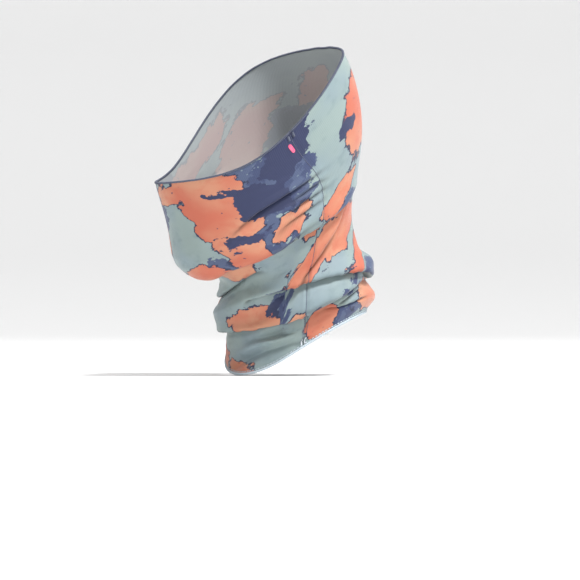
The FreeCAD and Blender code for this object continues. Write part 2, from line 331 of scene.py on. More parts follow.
def folded(points, turns):
    """The worn shape with its rolls, folds and pull lines, and the painted shade of its creases at each
    point, to 1.
    """
    outward = normals_of(points)
    height = points[..., 2]
    downward = unit(np.gradient(points, axis=0))
    out = np.zeros_like(height)
    slide = np.zeros_like(height)
    crease_shade = np.zeros_like(height)
    for width, line in ROLLS:
        above, amount = beside_line(turns, height, line)
        out += amount * np.exp(-((above / width) ** 2))
    pulls = CHEEK_FOLDS + tuple(mirrored(fold) for fold in CHEEK_FOLDS)
    for gain, folds in ((HANGING_GAIN, HANGING_FOLDS), (PULL_GAIN, pulls)):
        for width, line in folds:
            above, amount = beside_line(turns, height, line)
            amount = amount * gain
            above = above - FOLD_START * amount
            push, drop, depth = fold_section(above, amount, width)
            out += push
            slide += drop
            # Painted shade: the darkest crease shade at each point is kept for the material.
            crease_shade = np.maximum(crease_shade, depth)
    moved = points + outward * out[..., None] + downward * slide[..., None]
    return smoothed(moved, 2), crease_shade


# ---- meshes

def mesh_object(name, points, faces):
    """A new smooth-shaded object from points in millimetres."""
    mesh = bpy.data.meshes.new(name)
    mesh.from_pydata((np.asarray(points) * MM).tolist(), [], faces)
    mesh.polygons.foreach_set("use_smooth", [True] * len(mesh.polygons))
    piece = bpy.data.objects.new(name, mesh)
    bpy.context.scene.collection.objects.link(piece)
    return piece


def grid_faces(rows, columns, closed=True):
    """Quads of a grid of points, facing outwards; when closed, its last column joins its first."""
    faces = []
    for row in range(rows - 1):
        for column in range(columns if closed else columns - 1):
            beside = (column + 1) % columns
            here = row * columns
            below = here + columns
            faces.append((here + column, here + beside, below + beside, below + column))
    return faces


def with_back(faces, count):
    """The faces of a sheet, of its back and of its open edges; the back's points come count later."""
    back = [tuple(count + index for index in reversed(face)) for face in faces]
    sides = {side for face in faces for side in zip(face, face[1:] + face[:1])}
    open_sides = sorted((here, beside) for here, beside in sides if (beside, here) not in sides)
    rim = [(beside, here, count + here, count + beside) for here, beside in open_sides]
    return faces + back + rim


def unit(vectors):
    """Vectors of length 1."""
    return vectors / np.maximum(np.linalg.norm(vectors, axis=-1, keepdims=True), 1e-9)


def thread_mesh(path, ups, radius, sides=6, closed=False):
    """Points and faces of a round thread along a path; ups are directions roughly square to it."""
    if closed:
        along = np.roll(path, -1, axis=0) - np.roll(path, 1, axis=0)
    else:
        along = np.gradient(path, axis=0)
    along = unit(along)
    across = unit(np.cross(along, ups))
    ups = np.cross(across, along)
    turn = np.linspace(0, 2 * math.pi, sides, endpoint=False)
    ring = ups[:, None] * np.cos(turn)[None, :, None] + across[:, None] * np.sin(turn)[None, :, None]
    points = (path[:, None] + radius * ring).reshape(-1, 3)
    if closed:
        rings = grid_faces(len(path) + 1, sides)
        return points, [tuple(index % len(points) for index in face) for face in rings]
    ends = [tuple(range(sides - 1, -1, -1)), tuple(range(len(points) - sides, len(points)))]
    return points, grid_faces(len(path), sides) + ends


def joined(parts):
    """One list of points and one of faces, from several."""
    points = []
    faces = []
    first = 0
    for part_points, part_faces in parts:
        points.append(part_points)
        faces.extend(tuple(index + first for index in face) for face in part_faces)
        first += len(part_points)
    return np.concatenate(points), faces


def finish_piece(piece, body, node, material):
    """Gives a piece its material and its body, and hides the CAD node that it stands for."""
    piece.data.materials.append(material)
    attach(piece, body)
    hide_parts(node)


# ---- the cloth simulation

SIM_FRAMES = 16
MOST_SHIFT = 3.0
# How firmly the cloth is held where it is stretched, how much less where it is slack, and how far above the
# jaw's fold the slack ends.
HOLD = 0.6
HOLD_LESS = 0.3
SLACK_FADE = 24
# The simulation's settings for jersey.
JERSEY = {
    "pin_stiffness": 1.0,
    "quality": 6,
    "mass": 0.1,
    "tension_stiffness": 15,
    "compression_stiffness": 15,
    "shear_stiffness": 5,
    "bending_stiffness": 0.2,
    "air_damping": 2,
}


def settled(points, turns):
    """The folded cloth let loose for a moment, so that it settles and finds its own fine wrinkles. Every
    second row takes part, and the rows between follow."""
    rows = points[::2]
    cloth = mesh_object("loose_cloth", rows.reshape(-1, 3), grid_faces(len(rows), COLUMNS))
    share = np.linspace(0, 1, len(rows))[:, None] * np.ones(COLUMNS)
    above_jaw, _ = beside_line(turns[::2], rows[..., 2], HANGING_FOLDS[0][1])
    slack = np.clip(0.5 - above_jaw / SLACK_FADE, 0, 1)
    hold = HOLD - HOLD_LESS * slack
    hold = np.where((share < 0.02) | (share > 0.985), 1.0, hold)
    held = cloth.vertex_groups.new(name="hold")
    for index, weight in enumerate(hold.reshape(-1)):
        held.add([index], float(weight), "REPLACE")
    modifier = cloth.modifiers.new("cloth", "CLOTH")
    modifier.collision_settings.use_collision = False
    settings = modifier.settings
    settings.vertex_group_mass = held.name
    settings.effector_weights.gravity = 0.3
    for name, value in JERSEY.items():
        setattr(settings, name, value)
    scene = bpy.context.scene
    for step in range(1, SIM_FRAMES + 1):
        scene.frame_set(step)
    graph = bpy.context.evaluated_depsgraph_get()
    mesh = bpy.data.meshes.new_from_object(cloth.evaluated_get(graph))
    moved = np.zeros(len(mesh.vertices) * 3)
    mesh.vertices.foreach_get("co", moved)
    shift = moved.reshape(rows.shape) / MM - rows
    scene.frame_set(1)
    bpy.data.objects.remove(cloth)
    size = np.linalg.norm(shift, axis=-1, keepdims=True)
    shift *= np.minimum(1.0, MOST_SHIFT / np.maximum(size, 1e-9))
    full = np.zeros_like(points)
    full[::2] = shift
    full[1::2] = (shift[:-1] + shift[1:]) / 2
    return smoothed(points + full, 1)


# ---- the print

# The cloth laid flat: millimetres round from the side seam towards the face, and down from the top edge.
FLAT_ROUND = 440.0
FLAT_LENGTH = 340.0

# A plain camouflage. Each mass of colour is an oval: its middle, round and down the cloth, its half width and
# half height, and its tilt in degrees. Noise gives every mass its own ragged shape.
ORANGE_MASSES = (
    (62, 38, 26, 44, -10), (92, 12, 30, 11, 0), (60, 100, 15, 22, 10), (25, 88, 11, 15, 0),
    (114, 121, 32, 13, 8), (84, 154, 24, 22, 0), (-14, 108, 18, 12, 50), (-10, 146, 20, 10, -20),
    (-26, 188, 50, 28, 12),
    (-72, 238, 32, 13, 20), (50, 252, 24, 19, 0), (10, 278, 13, 7, -20), (-18, 322, 14, 14, 0),
    (-84, 315, 28, 18, 0), (72, 336, 18, 10, 0), (108, 327, 15, 14, 0), (-52, 58, 19, 36, -15),
    (172, 52, 28, 46, 20), (206, 158, 40, 24, -15), (164, 222, 30, 26, 10), (224, 272, 38, 22, 0),
    (256, 76, 26, 42, 10), (290, 150, 32, 24, 0), (282, 222, 28, 26, 20), (178, 316, 30, 15, 0),
    (262, 326, 26, 14, 0), (308, 44, 14, 18, 0), (214, 30, 20, 16, 0), (308, 286, 18, 16, 0),
    (136, 258, 15, 18, 0),
)
SLATE_MASSES = (
    (22, 34, 26, 40, 10), (41, 98, 14, 24, 0), (50, 76, 18, 10, 20), (82, 116, 14, 15, 0),
    (80, 16, 15, 8, 0), (28, 246, 11, 26, 0), (-46, 324, 22, 13, 0), (-24, 134, 13, 13, 0),
    (-78, 270, 24, 8, 0), (-46, 287, 12, 8, 0), (8, 208, 34, 7, -8), (146, 24, 30, 30, 0),
    (230, 108, 26, 34, 0), (192, 200, 26, 30, 0), (304, 84, 24, 30, 0), (240, 218, 20, 30, 0),
    (290, 292, 28, 18, 0), (196, 292, 16, 16, 0), (150, 172, 16, 18, 0),
)
NAVY_MASSES = (
    (6, 12, 20, 23, 0), (30, 46, 17, 20, 0), (56, 86, 16, 6, 40), (-38, 53, 9, 9, 0),
    (48, 27, 14, 4, -25), (30, 238, 8, 9, 0), (-23, 186, 6, 6, 0), (-8, 286, 8, 6, 0),
    (152, 16, 20, 22, 0), (234, 118, 14, 24, 0), (198, 196, 14, 18, 0), (304, 76, 14, 20, 0),
    (246, 210, 11, 16, 0), (296, 290, 16, 11, 0), (270, 138, 9, 9, 0), (174, 50, 12, 5, -30),
    (282, 232, 9, 9, 0), (156, 168, 9, 10, 0),
)


# How far noise moves the places of the cloth before the masses are laid out, and the size of its waves.
WARP = 11
WARP_SIZE = 34.0
# The corners of a mass: 2 is an oval, and more is squarer.
MASS_POWER = 2.6
NO_MASS = -30.0


def wandering(around, down, seed):
    """Seeded noise from -1 to 1 over the cloth, joined all the way round."""
    radius = FLAT_ROUND / (2 * math.pi * WARP_SIZE)
    turn = around * (2 * math.pi / FLAT_ROUND)
    places = np.stack([np.cos(turn) * radius, np.sin(turn) * radius, down / WARP_SIZE + seed], axis=-1)
    return np.array([noise.fractal(Vector(place), 0.7, 2.0, 3) for place in places.tolist()])


def depth_inside(around, down, masses):
    """How far inside the nearest mass of colour each place on the cloth is; negative outside."""
    depth = np.full(around.shape, NO_MASS)
    for middle, level, half_width, half_height, tilt in masses:
        x = np.mod(around - middle + FLAT_ROUND / 2, FLAT_ROUND) - FLAT_ROUND / 2
        y = down - level
        lean = math.radians(tilt)
        along = (x * math.cos(lean) + y * math.sin(lean)) / half_width
        across = (y * math.cos(lean) - x * math.sin(lean)) / half_height
        far = (np.abs(along) ** MASS_POWER + np.abs(across) ** MASS_POWER) ** (1 / MASS_POWER)
        depth = np.maximum(depth, (1 - far) * min(half_width, half_height))
    return depth


def print_depths(around, down):
    """The depth in each colour, over a cloth whose places noise has moved about."""
    x = around + WARP * wandering(around, down, 3.0)
    y = down + WARP * wandering(around, down, 47.0)
    masses = {"orange": ORANGE_MASSES, "slate": SLATE_MASSES, "navy": NAVY_MASSES}
    return {name: depth_inside(x, y, ovals) for name, ovals in masses.items()}


def flat_places(points):
    """Where each point of the grid lies on the flat cloth."""
    steps = np.linalg.norm(np.diff(points, axis=0), axis=-1)
    run = np.concatenate([np.zeros((1, COLUMNS)), np.cumsum(steps, axis=0)])
    down = run / run[-1] * FLAT_LENGTH
    around = np.arange(COLUMNS)[None, :] * (FLAT_ROUND / COLUMNS) * np.ones_like(down)
    return around, down


# ---- materials

def colour(red, green, blue, strength=1.0):
    """A colour from its 0 to 255 screen values, and how much of that light it gives back."""
    parts = [value / 255 for value in (red, green, blue)]
    parts = [((p + 0.055) / 1.055) ** 2.4 if p > 0.04045 else p / 12.92 for p in parts]
    return tuple(part * strength for part in parts) + (1.0,)


DYE_STRENGTH = 0.46


def dye(red, green, blue):
    """A printed colour; open jersey gives back less light than a solid surface of its shade."""
    return colour(red, green, blue, DYE_STRENGTH)


class Paint:
    """A material's node tree, with short ways to add its nodes."""

    def __init__(self, name, roughness=0.7, sheen=0.0):
        self.material = bpy.data.materials.new(name)
        self.material.use_nodes = True
        self.tree = self.material.node_tree
        self.shader = self.tree.nodes["Principled BSDF"]
        self.shader.inputs["Roughness"].default_value = roughness
        self.shader.inputs["Sheen Weight"].default_value = sheen

    def put(self, socket, value):
        """Links a socket to another node's output, or sets it to a constant."""
        if isinstance(value, bpy.types.NodeSocket):
            self.tree.links.new(value, socket)
        else:
            socket.default_value = value

    def node(self, kind, sockets=(), **settings):
        """Adds a node with its settings and the values of its sockets; gives back its outputs."""
        node = self.tree.nodes.new("ShaderNode" + kind)
        for name, value in settings.items():
            setattr(node, name, value)
        for name, value in dict(sockets).items():
            self.put(node.inputs[name], value)
        return node.outputs

    def maths(self, operation, *values):
        return self.node("Math", enumerate(values), operation=operation)[0]

    def blend(self, factor, first, second, kind="MIX"):
        sockets = {"Factor": factor, "A": first, "B": second}
        return self.node("Mix", sockets, data_type="RGBA", blend_type=kind)["Result"]

    def attribute(self, name):
        return self.node("Attribute", attribute_name=name)["Fac"]

    def place(self):
        return self.node("UVMap", uv_map="flat")["UV"]

    def object_place(self):
        return self.node("TexCoord")["Object"]

    def parts(self, vector):
        return self.node("SeparateXYZ", {"Vector": vector})

    def noise(self, vector, size, detail=2.0, rough=0.5, move=(0, 0, 0)):
        """Noise from 0 to 1 whose features are about size millimetres across, on a map in metres."""
        moved = self.node("Mapping", {"Vector": vector, "Location": move})["Vector"]
        sockets = {"Vector": moved, "Scale": 1000.0 / size, "Detail": detail, "Roughness": rough}
        return self.node("TexNoise", sockets)["Fac"]

    def step(self, value, edge, softness):
        """0 below an edge and 1 above it, with a soft change."""
        sockets = {"Value": value, "From Min": edge - softness, "From Max": edge + softness}
        return self.node("MapRange", sockets, interpolation_type="SMOOTHSTEP")["Result"]

    def tinted(self, first, second, value, edge, softness, share=None):
        """The first colour, turned into the second, or a share of the way, where a value is over an edge."""
        amount = self.step(value, edge, softness)
        if share:
            amount = self.maths("MULTIPLY", amount, share)
        return self.blend(amount, first, second)

    def bump(self, height, strength, distance):
        sockets = {"Height": height, "Strength": strength, "Distance": distance}
        self.put(self.shader.inputs["Normal"], self.node("Bump", sockets)["Normal"])

    def finish(self, base_colour):
        self.put(self.shader.inputs["Base Color"], base_colour)
        return self.material


# One stitch of the knit: its width and its height, in metres.
WALE = 0.0011
COURSE = 0.0009


def knit_height(paint, place):
    """Height of the plain knit: columns of stitches, each a chain of small Vs."""
    parts = paint.parts(place)
    across = paint.maths("DIVIDE", parts[0], WALE)
    down = paint.maths("DIVIDE", parts[1], COURSE)
    side = paint.maths("PINGPONG", across, 0.5)
    lean = paint.maths("MULTIPLY_ADD", side, 1.6, down)
    loop = paint.maths("SINE", paint.maths("MULTIPLY", lean, 2 * math.pi))
    column = paint.maths("MULTIPLY", side, 2.0)
    return paint.maths("MULTIPLY_ADD", loop, 0.35, column)


SAGE = dye(176, 197, 194)
BLUE_GREY = dye(163, 185, 193)
DEEP_GREY = dye(140, 165, 172)
CORAL = dye(240, 128, 98)
PEACH = dye(250, 182, 144)
NAVY = dye(52, 62, 106)
SLATE = dye(92, 108, 146)
SLATE_DEEP = dye(72, 86, 130)
INK = dye(46, 56, 92)
PALE = dye(158, 180, 192)
REVERSE = dye(226, 232, 234)
PINK = colour(214, 70, 108)
PINK_PALE = colour(222, 98, 130)
SATIN = colour(214, 214, 210)
SATIN_SHADE = colour(188, 190, 190)
DARK_THREAD = (colour(34, 40, 58), colour(62, 70, 92))
PALE_THREAD = (colour(112, 130, 144), colour(190, 200, 206))
BRIGHT_THREAD = (colour(168, 176, 184), colour(196, 202, 206))
LABEL_THREAD = (colour(190, 194, 198), colour(226, 228, 230))


# How far, in millimetres, noise moves the outline of a mass in all: in large teeth and in a small fringe.
RAGGED = 15.0
FRINGE = 3.4


def printed_colour(paint, place):
    """The print: orange patches with inked outlines, slate and navy patches, on a soft grey ground."""
    ragged = paint.noise(place, 9.0, 4.0, 0.62)
    fine = paint.noise(place, 2.4, 2.0, 0.6, (0.31, 0.17, 0))
    wander = paint.maths("MULTIPLY_ADD", ragged, RAGGED, -RAGGED / 2)
    wander = paint.maths("MULTIPLY_ADD", fine, FRINGE, paint.maths("ADD", wander, -FRINGE / 2))
    slow = paint.noise(place, 55.0, 2.0, 0.5, (0.7, 0.2, 0))
    middling = paint.noise(place, 16.0, 3.0, 0.6, (0.1, 0.9, 0))
    fleck = paint.noise(place, 5.5, 2.0, 0.7, (0.5, 0.5, 0))

    ground = paint.tinted(BLUE_GREY, SAGE, slow, 0.5, 0.14)
    ground = paint.tinted(ground, DEEP_GREY, middling, 0.60, 0.10, 0.5)
    specks = paint.maths("MULTIPLY", paint.step(fleck, 0.735, 0.006), paint.step(slow, 0.56, 0.01))
    ground = paint.blend(specks, ground, INK)

    slate_colour = paint.tinted(SLATE, SLATE_DEEP, middling, 0.50, 0.015)
    slate_colour = paint.tinted(slate_colour, PALE, fleck, 0.66, 0.01, 0.75)
    slate_depth = paint.maths("ADD", paint.attribute("slate"), wander)
    result = paint.tinted(ground, slate_colour, slate_depth, 0.0, 0.25)

    orange_depth = paint.maths("ADD", wander, paint.attribute("orange"))
    rim = paint.maths("MULTIPLY_ADD", middling, 4.6, -0.6)
    result = paint.tinted(result, INK, paint.maths("ADD", orange_depth, rim), 0.0, 0.25)
    orange_colour = paint.tinted(PEACH, CORAL, slow, 0.48, 0.2)
    orange_colour = paint.tinted(orange_colour, CORAL, middling, 0.56, 0.10, 0.5)
    spots = paint.maths("MULTIPLY", paint.step(fleck, 0.70, 0.006), paint.step(slow, 0.50, 0.01))
    orange_colour = paint.blend(spots, orange_colour, NAVY)
    result = paint.tinted(result, orange_colour, orange_depth, 0.0, 0.2)

    return paint.tinted(result, NAVY, paint.maths("ADD", wander, paint.attribute("navy")), 0.0, 0.2)


REVERSE_SHARE = 0.72
# How much the painted crease shade darkens the outer face at most.
CREASE_SHADE = 0.6


def knit_material(name, reverse):
    """Printed jersey, painted a little darker in the knit's low places and, on its outer face, darker along
    the fold creases, both painted shade; its reverse shows the print only faintly.
    """
    paint = Paint(name, roughness=0.55, sheen=0.12)
    paint.shader.inputs["Sheen Roughness"].default_value = 0.45
    paint.shader.inputs["Specular IOR Level"].default_value = 0.35
    place = paint.place()
    result = printed_colour(paint, place)
    height = knit_height(paint, place)
    # Painted shade: the knit's low places are painted up to a tenth darker.
    shade = paint.maths("MULTIPLY_ADD", height, 0.10, 0.90)
    if reverse:
        result = paint.blend(REVERSE_SHARE, result, REVERSE)
    else:
        # Painted shade: the outer face is darkened along the fold creases, where shade falls.
        crease_shade = paint.maths("MULTIPLY", paint.attribute("crease_shade"), CREASE_SHADE)
        shade = paint.maths("SUBTRACT", shade, crease_shade)
    paint.bump(height, 0.35, 0.0002)
    return paint.finish(paint.blend(1.0, result, shade, "MULTIPLY"))


def thread_material(name, first, second):
    """Spun thread: two close shades that change from fibre to fibre, with a soft gloss."""
    paint = Paint(name, roughness=0.48, sheen=0.25)
    fibre = paint.noise(paint.object_place(), 0.5, 3.0, 0.7)
    slow = paint.noise(paint.object_place(), 6.0, 1.0, 0.5, (0.4, 0.1, 0.2))
    result = paint.tinted(first, second, fibre, 0.5, 0.18)
    result = paint.blend(paint.maths("MULTIPLY", slow, 0.35), result, second)
    paint.bump(fibre, 0.5, 0.0001)
    return paint.finish(result)


def film_material():
    """A heat-transfer film: smooth, slightly rubbery, a little worn and crazed."""
    paint = Paint("transfer_film", roughness=0.38)
    crazing = paint.noise(paint.object_place(), 0.7, 4.0, 0.7)
    wear = paint.noise(paint.object_place(), 3.0, 2.0, 0.6, (0.3, 0.6, 0.1))
    result = paint.tinted(PINK, PINK_PALE, wear, 0.5, 0.25)
    paint.bump(crazing, 0.25, 0.00008)
    return paint.finish(result)


# The pitch of the satin's yarns, in metres.
SATIN_YARN = 0.00035


def satin_material():
    """Woven satin tape: long floats that shine along the tape, and a faint rib across it."""
    paint = Paint("label_satin", roughness=0.34, sheen=0.1)
    paint.shader.inputs["Anisotropic"].default_value = 0.5
    across = paint.maths("DIVIDE", paint.parts(paint.place())[1], SATIN_YARN)
    rib = paint.maths("PINGPONG", across, 0.5)
    float_ends = paint.noise(paint.place(), 1.2, 2.0, 0.7)
    result = paint.tinted(SATIN, SATIN_SHADE, float_ends, 0.5, 0.3)
    paint.bump(paint.maths("MULTIPLY_ADD", float_ends, 0.6, rib), 0.3, 0.00008)
    return paint.finish(result)


# ---- the cloth tube

CLOTH_THICKNESS = 0.7
SEAM_HALF_WIDTH = 2.3
SEAM_RIDGE = 0.5
SEAM_DENT = 0.8

# The care label inside the seam: how far it reaches, its height and plies, how its line turns from the
# across direction, where the lower end of its sewn edge is, and how far the cloth keeps clear of it.
LABEL_REACH = 26.0
LABEL_HEIGHT = 32.0
LABEL_PLY = 0.3
LABEL_GAP = 0.3
LABEL_TURN = math.radians(78)
LABEL_EDGE = np.array([54.6, -31.0, 7.0])
LABEL_CLEARANCE = 2.6
LABEL_MARGIN = 9.0


def seam_relief(points):
    """The cloth with the dent of its seam line, and the low ridges of the seam allowance beside it."""
    around = np.arange(COLUMNS) * (FLAT_ROUND / COLUMNS)
    around = np.mod(around + FLAT_ROUND / 2, FLAT_ROUND) - FLAT_ROUND / 2
    ridge = SEAM_RIDGE * np.exp(-(((np.abs(around) - SEAM_HALF_WIDTH) / 1.6) ** 2))
    dent = SEAM_DENT * np.exp(-((around / 1.3) ** 2))
    return points + normals_of(points) * (ridge - dent)[None, :, None]


def clear_of_label(points):
    """The cloth, held out where a fold would press through the label that lies inside it."""
    y, z = points[..., 1], points[..., 2]
    along = y - LABEL_EDGE[1]
    beyond = np.maximum(-3 - along, 0) + np.maximum(along - LABEL_REACH, 0)
    beyond += np.maximum(LABEL_EDGE[2] - z, 0) + np.maximum(z - LABEL_EDGE[2] - LABEL_HEIGHT, 0)
    least = LABEL_EDGE[0] + along / math.tan(LABEL_TURN) + LABEL_CLEARANCE - beyond
    near = (points[..., 0] > 0) & (beyond < LABEL_MARGIN)
    points = points.copy()
    points[..., 0] = np.where(near, np.maximum(points[..., 0], least), points[..., 0])
    return points


def cloth_points():
    """The outer face of the cloth, folded and settled, and the painted shade along its creases."""
    points, turns = cloth_grid()
    points, crease_shade = folded(points, turns)
    points = settled(points, turns)
    return seam_relief(clear_of_label(points)), crease_shade


def put_values(mesh, name, values):
    """Stores a value for each point of a mesh, for its material."""
    layer = mesh.attributes.new(name, "FLOAT", "POINT")
    layer.data.foreach_set("value", np.asarray(values, dtype=np.float32))


def put_flat_map(mesh, x, y):
    """A map from each face corner to its point's place on the flat cloth, in metres; a face that crosses the
    seam is kept whole."""
    corners = np.zeros(len(mesh.loops), dtype=np.int32)
    mesh.loops.foreach_get("vertex_index", corners)
    x = x[corners]
    starts = np.zeros(len(mesh.polygons), dtype=np.int32)
    mesh.polygons.foreach_get("loop_start", starts)
    for offset in range(4):
        crossing = x[starts] - x[starts + offset] > FLAT_ROUND / 2
        x[starts[crossing] + offset] += FLAT_ROUND
        back = x[starts + offset] - x[starts] > FLAT_ROUND / 2
        x[starts[back]] += FLAT_ROUND
    flat = np.stack([x, y[corners]], axis=-1) * MM
    layer = mesh.uv_layers.new(name="flat")
    layer.data.foreach_set("uv", flat.astype(np.float32).reshape(-1))


def cloth_object(outer, crease_shade):
    """The tube of cloth with its real thickness, and the print's outlines and the painted crease shade stored
    on its points.
    """
    inner = outer - normals_of(outer) * CLOTH_THICKNESS
    count = (ROWS + 1) * COLUMNS
    front = grid_faces(ROWS + 1, COLUMNS)
    faces = with_back(front, count)
    points = np.concatenate([outer.reshape(-1, 3), inner.reshape(-1, 3)])
    piece = mesh_object("jersey_tube", points, faces)
    around, down = (np.tile(values.reshape(-1), 2) for values in flat_places(outer))
    for name, depths in print_depths(around[:count], down[:count]).items():
        put_values(piece.data, name, np.tile(depths, 2))
    # Painted shade for the creases, stored on the points for the material.
    put_values(piece.data, "crease_shade", np.tile(crease_shade.reshape(-1), 2))
    put_flat_map(piece.data, around, down)
    finish_piece(piece, "tube", "knit_tube", knit_material("printed_jersey", False))
    piece.data.materials.append(knit_material("jersey_reverse", True))
    sides = np.zeros(len(faces), dtype=np.int32)
    sides[len(front):2 * len(front)] = 1
    piece.data.polygons.foreach_set("material_index", sides)


cloth, cloth_crease_shade = cloth_points()
cloth_normals = normals_of(cloth)
_, cloth_down = flat_places(cloth)
cloth_object(cloth, cloth_crease_shade)


# ---- stitching and trims

def on_cloth(around, down, lift=0.0):
    """Points at places on the flat cloth, lifted off its outer face, and the cloth's normals there."""
    column = np.mod(np.asarray(around) / FLAT_ROUND * COLUMNS, COLUMNS)
    left = column.astype(int) % COLUMNS
    share = (column - column.astype(int))[:, None]
    sides = []
    for index in (left, (left + 1) % COLUMNS):
        row = np.array([np.interp(y, cloth_down[:, i], np.arange(ROWS + 1)) for y, i in zip(down, index)])
        low = np.minimum(row.astype(int), ROWS - 1)
        part = (row - low)[:, None]
        place = cloth[low, index] * (1 - part) + cloth[low + 1, index] * part
        normal = cloth_normals[low, index] * (1 - part) + cloth_normals[low + 1, index] * part
        sides.append((place, normal))
    place = sides[0][0] * (1 - share) + sides[1][0] * share
    normal = unit(sides[0][1] * (1 - share) + sides[1][1] * share)
    return place + normal * np.asarray(lift).reshape(-1, 1), normal


def evenly(spacing, path, *others):
    """A closed path at an even spacing, other values along it at the same places, and its length."""
    loop = np.concatenate([path, path[:1]])
    run = np.concatenate([[0], np.cumsum(np.linalg.norm(np.diff(loop, axis=0), axis=-1))])
    places = np.linspace(0, run[-1], int(run[-1] / spacing), endpoint=False)
    spread = []
    for values in (path, *others):
        ring = np.concatenate([values, values[:1]])
        spread.append(np.stack([np.interp(places, run, ring[:, axis]) for axis in range(3)], axis=-1))
    return spread, run[-1]


def edge_overlock(row, inner_row, pitch, wrap_radius, thread_radius):
    """Thread wound closely round a raw edge of the cloth, over the edge's own small roll."""
    middle = cloth[row] - cloth_normals[row] * (CLOTH_THICKNESS / 2)
    off_edge = unit(cloth[row] - cloth[inner_row])
    (edge, normals, off_edge), length = evenly(pitch / 7, middle, cloth_normals[row], off_edge)
    normals = unit(normals)
    off_edge = unit(off_edge - normals * (off_edge * normals).sum(axis=-1, keepdims=True))
    edge = edge - off_edge * (wrap_radius * 0.6)
    phase = np.linspace(0, 2 * math.pi * round(length / pitch), len(edge), endpoint=False)[:, None]
    radial = normals * np.cos(phase) + off_edge * np.sin(phase)
    wound = thread_mesh(edge + radial * wrap_radius, radial, thread_radius, 5, True)
    core = thread_mesh(edge[::3], normals[::3], wrap_radius, 8, True)
    return joined([core, wound])


def stitch(around, down, radius, dip=0.45):
    """One stitch on the cloth's outer face, from one place to another; its ends go into the cloth."""
    share = np.linspace(0, 1, 6)
    places_round = around[0] + (around[1] - around[0]) * share
    places_down = down[0] + (down[1] - down[0]) * share
    rise = np.sin(math.pi * share) ** 0.5
    path, normals = on_cloth(places_round, places_down, radius * 0.7 * rise - dip * (1 - rise))
    return thread_mesh(path, normals, radius)


def zigzag(around, down, half_width, pitch, radius, lift):
    """A thread that zigzags about a line down the cloth, between two places on it."""
    turns = max(int((down[1] - down[0]) / pitch), 1)
    share = np.linspace(0, 1, turns * 6 + 1)
    swing = np.sin(2 * math.pi * turns * share)
    swing = np.sign(swing) * np.abs(swing) ** 0.7
    places_down = down[0] + (down[1] - down[0]) * share
    path, normals = on_cloth(around + half_width * swing, places_down, lift * np.ones_like(share))
    return thread_mesh(path, normals, radius)


def thread_piece(node, parts, shades, body="tube"):
    """The thread that stands for a CAD node, from its runs."""
    name = f"{node}_thread"
    finish_piece(mesh_object(name, *joined(parts)), body, node, thread_material(name, *shades))


def top_edge():
    """The narrow dark overlock of the top edge."""
    wound = edge_overlock(row=0, inner_row=3, pitch=1.3, wrap_radius=0.85, thread_radius=0.36)
    thread_piece("top_edge_overlock", [wound], DARK_THREAD)


HEM_STITCH_GAP = 3.4
HEM_STITCH = 2.3
HEM_LEVEL = FLAT_LENGTH - 3.6


def bottom_edge():
    """The pale overlock of the bottom edge, with a row of straight stitches just above it."""
    parts = [edge_overlock(row=ROWS, inner_row=ROWS - 3, pitch=2.1, wrap_radius=1.1, thread_radius=0.48)]
    for index in range(int(FLAT_ROUND / HEM_STITCH_GAP)):
        start = index * HEM_STITCH_GAP + 0.6
        parts.append(stitch((start, start + HEM_STITCH), (HEM_LEVEL, HEM_LEVEL), radius=0.38))
    thread_piece("bottom_edge_overlock", parts, PALE_THREAD)


# The seam's stitches, and how many of them show on each side of it above the hem.
SEAM_STITCH = 2.4
HEM_STITCHES = 22
SEAM_END = 2


def side_seam():
    """The seam's needle thread, which shows in its dent, and the overlock inside the cloth."""
    parts = []
    for index in range(int((FLAT_LENGTH - 6) / SEAM_STITCH)):
        start = 3 + index * SEAM_STITCH
        parts.append(stitch((0, 0), (start, start + SEAM_STITCH), radius=0.3, dip=0.2))
    inside = -CLOTH_THICKNESS - 0.35
    ends = (SEAM_END, FLAT_LENGTH - SEAM_END)
    parts.append(zigzag(0, ends, SEAM_HALF_WIDTH, pitch=1.5, radius=0.3, lift=inside))
    for side in (-SEAM_HALF_WIDTH, SEAM_HALF_WIDTH):
        down = np.linspace(*ends, 240)
        path, normals = on_cloth(np.full_like(down, side), down, np.full_like(down, inside - 0.1))
        parts.append(thread_mesh(path, normals, 0.35))
        for index in range(HEM_STITCHES):
            start = FLAT_LENGTH - 4 - (index + 1) * SEAM_STITCH
            parts.append(stitch((side, side), (start, start + SEAM_STITCH * 0.8), radius=0.3))
    thread_piece("side_seam_overlock", parts, DARK_THREAD)


BARTACK_PLACE = 0.7 * SEAM_HALF_WIDTH


def bartack(node, down, shades):
    """Two short bars of close zigzag stitches over an end of the seam."""
    parts = []
    for side in (-BARTACK_PLACE, BARTACK_PLACE):
        parts.append(zigzag(side, down, half_width=0.75, pitch=0.55, radius=0.2, lift=0.25))
    thread_piece(node, parts, shades)


MARK_LENGTH = 8.5
MARK_WIDTH = 3.6
MARK_THICKNESS = 0.3
MARK_TILT = math.radians(50)
# Rings of the mark from its middle to its rim: their size, and how much of its thickness they rise.
MARK_RINGS = ((0.02, 1.0), (0.3, 1.0), (0.6, 1.0), (0.85, 1.0), (0.96, 0.8), (1.0, 0.3), (1.0, -0.5))


